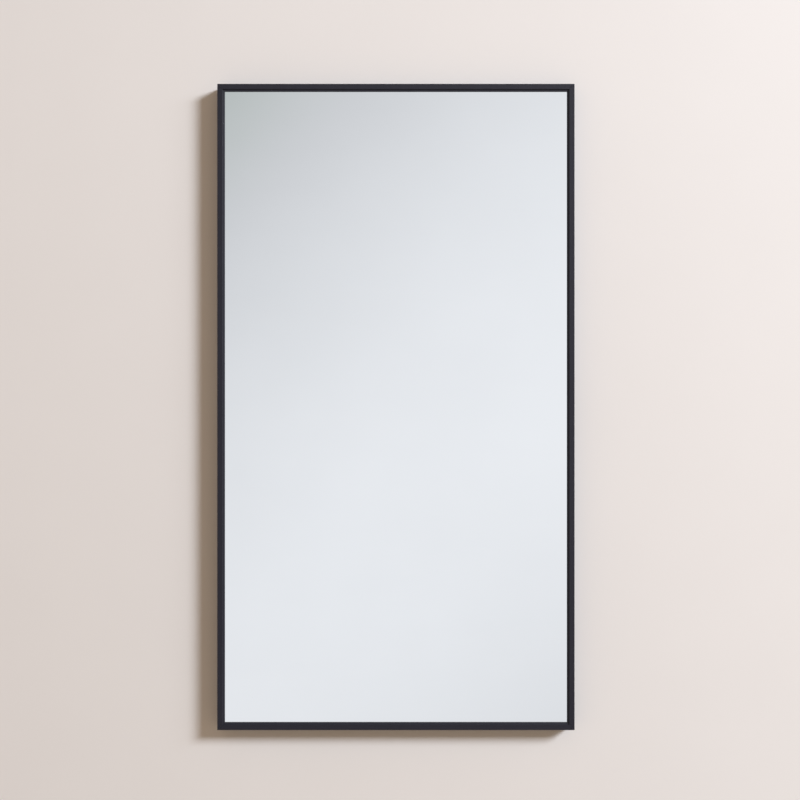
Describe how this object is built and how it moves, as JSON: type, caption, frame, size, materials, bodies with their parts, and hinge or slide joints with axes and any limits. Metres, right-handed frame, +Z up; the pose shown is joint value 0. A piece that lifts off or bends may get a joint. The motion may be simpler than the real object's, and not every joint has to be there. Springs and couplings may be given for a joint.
{
  "type": "wall mirror",
  "caption": "Tall rectangular wall mirror in a slim satin-black mitred metal frame with a recessed inner lip, hung flush on a wall bar from which it lifts off.",
  "frame": {"origin": "middle of the wall bar's row of screw slots, on the wall plane", "axes": "+X to the viewer's right, +Z up, +Y into the wall; the mirror faces -Y"},
  "size_m": [0.507, 0.027, 0.917],
  "materials": {
    "frame_black": "satin charcoal-black powder coat",
    "mirror_silver": "silvered float glass",
    "film_grey": "bonded safety film",
    "fibreboard": "raw medium-density fibreboard",
    "zinc_steel": "bright zinc plate",
    "spring_steel": "blued spring steel",
    "mill_aluminium": "mill-finish extrusion",
    "black_rubber": "matt rubber",
    "foam_tape": "closed-cell foam"
  },
  "bodies": {
    "wall_side": {"wall_bar": "mill_aluminium"},
    "mirror": {"backing_board": "fibreboard", "bottom_rail": "frame_black", "corner_plate_bottom_left": "zinc_steel", "corner_plate_bottom_right": "zinc_steel", "corner_plate_top_left": "zinc_steel", "corner_plate_top_right": "zinc_steel", "corner_screws": "zinc_steel", "corner_shim_bottom_left": "zinc_steel", "corner_shim_bottom_right": "zinc_steel", "corner_shim_top_left": "zinc_steel", "corner_shim_top_right": "zinc_steel", "glazing_tape_bottom": "foam_tape", "glazing_tape_left": "foam_tape", "glazing_tape_right": "foam_tape", "glazing_tape_top": "foam_tape", "hanging_rail": "mill_aluminium", "left_stile": "frame_black", "mirror_glass": "mirror_silver", "rail_screws": "zinc_steel", "right_stile": "frame_black", "safety_film": "film_grey", "setting_block_left": "black_rubber", "setting_block_right": "black_rubber", "spring_clip_bottom_left": "spring_steel", "spring_clip_bottom_right": "spring_steel", "spring_clip_left_lower": "spring_steel", "spring_clip_left_middle": "spring_steel", "spring_clip_left_upper": "spring_steel", "spring_clip_right_lower": "spring_steel", "spring_clip_right_middle": "spring_steel", "spring_clip_right_upper": "spring_steel", "spring_clip_top_left": "spring_steel", "spring_clip_top_right": "spring_steel", "top_rail": "frame_black", "wall_bumper_bottom_left": "black_rubber", "wall_bumper_bottom_right": "black_rubber", "wall_bumper_top_left": "black_rubber", "wall_bumper_top_right": "black_rubber"}
  },
  "joints": [
    {"name": "mirror_lift", "type": "slide", "parent": "wall_side", "child": "mirror", "axis": [0, 0, 1], "range_m": [0, 0.015]}
  ]
}
